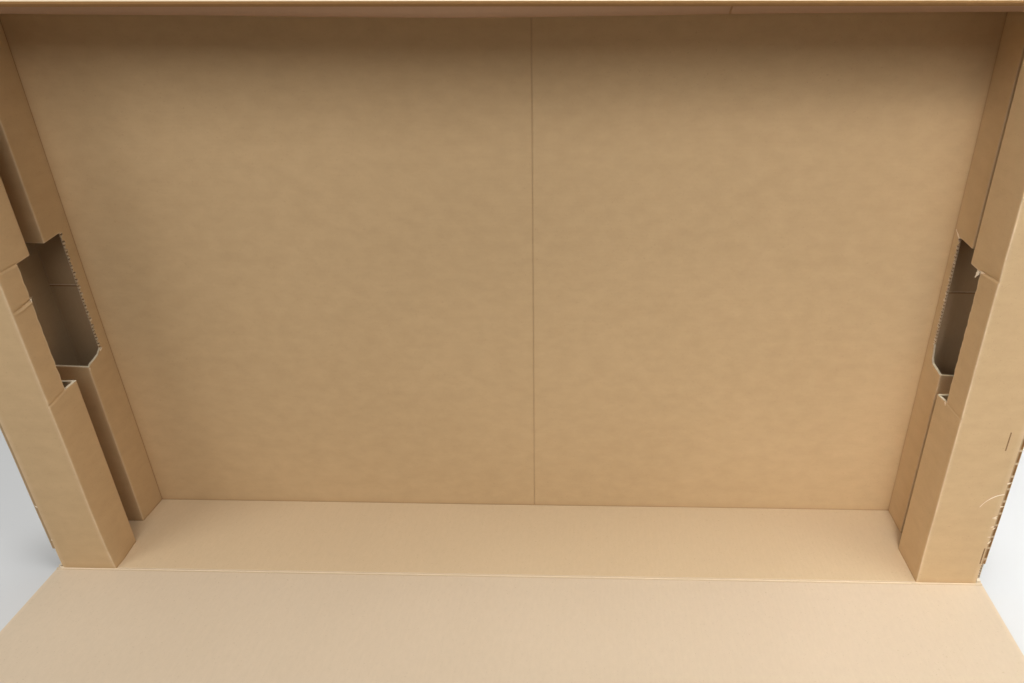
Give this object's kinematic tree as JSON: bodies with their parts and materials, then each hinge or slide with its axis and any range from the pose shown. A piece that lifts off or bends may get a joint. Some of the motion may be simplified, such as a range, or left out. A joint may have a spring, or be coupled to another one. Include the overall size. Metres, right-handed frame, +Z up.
{
  "type": "bicycle shipping box",
  "caption": "Upright corrugated bike box, open at the front, with fold-out front flaps, hand holes and folded inserts forming side posts with wheel channels and windows.",
  "frame": {"origin": "middle of the box's underside, halfway between its ends and between its open front and its back, on the ground", "axes": "+X along the box's length, to the right as seen from the open front; +Y from the open front to the back; +Z up"},
  "size_m": [1.8214, 1.0097, 1.0308],
  "materials": {
    "outer_board": "matte",
    "liner_board": "matte",
    "paper_tape": "satin",
    "staple_wire": "satin"
  },
  "bodies": {
    "carton": {"bottom_wall": "outer_board", "top_wall": "outer_board", "left_end_wall": "outer_board", "right_end_wall": "outer_board", "lower_back_flap": "outer_board", "upper_back_flap": "outer_board", "back_seam_tape": "paper_tape", "left_wheel_insert": "liner_board", "right_wheel_insert": "liner_board", "strip_staple_1": "staple_wire", "strip_staple_2": "staple_wire", "strip_staple_3": "staple_wire", "strip_staple_4": "staple_wire", "joint_staple_1": "staple_wire", "joint_staple_2": "staple_wire", "joint_staple_3": "staple_wire", "joint_staple_4": "staple_wire"},
    "lower_flap": {"lower_front_flap": "outer_board"},
    "upper_flap": {"upper_front_flap": "outer_board"},
    "left_hand_leaf": {"left_hand_flap": "outer_board"},
    "right_hand_leaf": {"right_hand_flap": "outer_board"}
  },
  "joints": [
    {"name": "lower_flap_crease", "type": "hinge", "parent": "carton", "child": "lower_flap", "pos_m": [0, -0.1078, 0.0065], "axis": [-1, 0, 0], "range_deg": [0, 90]},
    {"name": "upper_flap_crease", "type": "hinge", "parent": "carton", "child": "upper_flap", "pos_m": [0, -0.1146, 1.024], "axis": [1, 0, 0], "range_deg": [0, 270]},
    {"name": "left_hand_crease", "type": "hinge", "parent": "carton", "child": "left_hand_leaf", "pos_m": [-0.9005, 0, 0.5245], "axis": [0, -1, 0], "range_deg": [0, 150]},
    {"name": "right_hand_crease", "type": "hinge", "parent": "carton", "child": "right_hand_leaf", "pos_m": [0.9005, 0, 0.5245], "axis": [0, 1, 0], "range_deg": [0, 150]}
  ]
}
